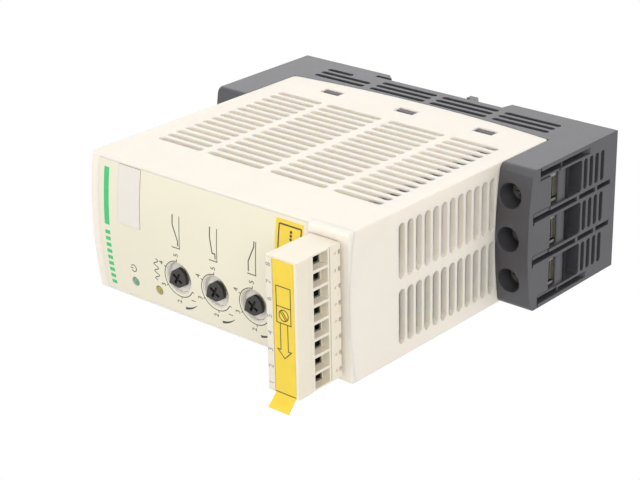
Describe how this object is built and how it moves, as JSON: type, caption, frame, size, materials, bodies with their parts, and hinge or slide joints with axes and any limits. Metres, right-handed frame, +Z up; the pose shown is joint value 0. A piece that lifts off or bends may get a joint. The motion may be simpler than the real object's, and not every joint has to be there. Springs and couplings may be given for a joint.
{
  "type": "soft starter",
  "caption": "Slim rail-mounted soft starter with a slotted cream housing, dark base with power terminals at both ends, front dials and a plug-in control terminal.",
  "frame": {"origin": "on the rail's seat plane, at the rail's middle height and the device's middle width", "axes": "+X across the width (right when seen from the front), +Y to the rear, into the rail, +Z up, towards the line terminals"},
  "size_m": [0.0456, 0.1347, 0.125],
  "materials": {
    "base_plastic": "moulded, fine texture",
    "cream_plastic": "moulded, fine texture",
    "label_film": "printed film",
    "white_plastic": "smooth",
    "yellow_film": "smooth film",
    "green_lens": "smooth",
    "yellow_lens": "smooth",
    "black_plastic": "smooth",
    "circuit_board": "coated laminate",
    "dark_component": "moulded",
    "blue_component": "dipped",
    "steel": "zinc plated",
    "brass": "tinned",
    "copper": "enamelled wire",
    "aluminium": "extruded"
  },
  "bodies": {
    "device": {"base_housing": "base_plastic", "front_housing": "cream_plastic", "front_label": "label_film", "marker_plate": "white_plastic", "panel_sticker": "yellow_film", "power_led": "green_lens", "run_led": "yellow_lens", "led_spacers": "white_plastic", "control_board": "circuit_board", "power_board": "circuit_board", "heat_sink": "aluminium", "thyristor_module": "dark_component", "bypass_relay": "dark_component", "transformer_core": "steel", "transformer_winding": "copper", "capacitors": "dark_component", "varistors": "blue_component", "board_connector": "dark_component", "left_bus_bar": "brass", "right_bus_bar": "brass", "line_middle_bar": "brass", "load_middle_bar": "brass", "line_clamp_boxes": "steel", "load_clamp_boxes": "steel", "header_body": "cream_plastic", "header_pins": "brass", "start_trimmer": "white_plastic", "level_trimmer": "white_plastic", "stop_trimmer": "white_plastic", "latch_spring": "steel"},
    "start_dial": {"start_dial": "black_plastic"},
    "level_dial": {"level_dial": "black_plastic"},
    "stop_dial": {"stop_dial": "black_plastic"},
    "control_plug": {"plug_body": "cream_plastic", "plug_screws": "steel", "plug_clamps": "steel", "plug_contacts": "brass", "plug_tape": "yellow_film", "plug_marker": "white_plastic"},
    "rail_latch": {"rail_latch": "black_plastic"},
    "line_saddle_left": {"line_saddle_left": "steel"},
    "line_screw_left": {"line_screw_left": "steel"},
    "line_saddle_middle": {"line_saddle_middle": "steel"},
    "line_screw_middle": {"line_screw_middle": "steel"},
    "line_saddle_right": {"line_saddle_right": "steel"},
    "line_screw_right": {"line_screw_right": "steel"},
    "load_saddle_left": {"load_saddle_left": "steel"},
    "load_screw_left": {"load_screw_left": "steel"},
    "load_saddle_middle": {"load_saddle_middle": "steel"},
    "load_screw_middle": {"load_screw_middle": "steel"},
    "load_saddle_right": {"load_saddle_right": "steel"},
    "load_screw_right": {"load_screw_right": "steel"}
  },
  "joints": [
    {"name": "start_dial_turn", "type": "hinge", "parent": "device", "child": "start_dial", "pos_m": [-0.00895, -0.0959, 0.0067], "axis": [0, 1, 0], "range_deg": [-120, 120]},
    {"name": "level_dial_turn", "type": "hinge", "parent": "device", "child": "level_dial", "pos_m": [-0.00895, -0.0959, -0.00835], "axis": [0, 1, 0], "range_deg": [-120, 120]},
    {"name": "stop_dial_turn", "type": "hinge", "parent": "device", "child": "stop_dial", "pos_m": [-0.00895, -0.0959, -0.0234], "axis": [0, 1, 0], "range_deg": [-120, 120]},
    {"name": "plug_slide", "type": "slide", "parent": "device", "child": "control_plug", "axis": [0, -1, 0], "range_m": [0, 0.02]},
    {"name": "latch_slide", "type": "slide", "parent": "device", "child": "rail_latch", "axis": [0, 0, -1], "range_m": [0, 0.004], "stiffness_N_per_m": 500, "springref_m": -0.004, "deforming": ["latch_spring"]},
    {"name": "line_saddle_left_slide", "type": "slide", "parent": "device", "child": "line_saddle_left", "axis": [0, -1, 0], "range_m": [0, 0.0021]},
    {"name": "line_screw_left_turn", "type": "hinge", "parent": "line_saddle_left", "child": "line_screw_left", "pos_m": [-0.0134, -0.0359, 0.04705], "axis": [0, -1, 0], "range_deg": [0, 1080]},
    {"name": "line_saddle_middle_slide", "type": "slide", "parent": "device", "child": "line_saddle_middle", "axis": [0, -1, 0], "range_m": [0, 0.0021]},
    {"name": "line_screw_middle_turn", "type": "hinge", "parent": "line_saddle_middle", "child": "line_screw_middle", "pos_m": [0, -0.0359, 0.04705], "axis": [0, -1, 0], "range_deg": [0, 1080]},
    {"name": "line_saddle_right_slide", "type": "slide", "parent": "device", "child": "line_saddle_right", "axis": [0, -1, 0], "range_m": [0, 0.0021]},
    {"name": "line_screw_right_turn", "type": "hinge", "parent": "line_saddle_right", "child": "line_screw_right", "pos_m": [0.0134, -0.0359, 0.04705], "axis": [0, -1, 0], "range_deg": [0, 1080]},
    {"name": "load_saddle_left_slide", "type": "slide", "parent": "device", "child": "load_saddle_left", "axis": [0, -1, 0], "range_m": [0, 0.0021]},
    {"name": "load_screw_left_turn", "type": "hinge", "parent": "load_saddle_left", "child": "load_screw_left", "pos_m": [-0.0134, -0.0359, -0.06375], "axis": [0, -1, 0], "range_deg": [0, 1080]},
    {"name": "load_saddle_middle_slide", "type": "slide", "parent": "device", "child": "load_saddle_middle", "axis": [0, -1, 0], "range_m": [0, 0.0021]},
    {"name": "load_screw_middle_turn", "type": "hinge", "parent": "load_saddle_middle", "child": "load_screw_middle", "pos_m": [0, -0.0359, -0.06375], "axis": [0, -1, 0], "range_deg": [0, 1080]},
    {"name": "load_saddle_right_slide", "type": "slide", "parent": "device", "child": "load_saddle_right", "axis": [0, -1, 0], "range_m": [0, 0.0021]},
    {"name": "load_screw_right_turn", "type": "hinge", "parent": "load_saddle_right", "child": "load_screw_right", "pos_m": [0.0134, -0.0359, -0.06375], "axis": [0, -1, 0], "range_deg": [0, 1080]}
  ],
  "couplings": [
    {"joint": "line_screw_left_turn", "follows": "line_saddle_left_slide", "rad_per_m": 8976},
    {"joint": "line_screw_middle_turn", "follows": "line_saddle_middle_slide", "rad_per_m": 8976},
    {"joint": "line_screw_right_turn", "follows": "line_saddle_right_slide", "rad_per_m": 8976},
    {"joint": "load_screw_left_turn", "follows": "load_saddle_left_slide", "rad_per_m": 8976},
    {"joint": "load_screw_middle_turn", "follows": "load_saddle_middle_slide", "rad_per_m": 8976},
    {"joint": "load_screw_right_turn", "follows": "load_saddle_right_slide", "rad_per_m": 8976}
  ]
}
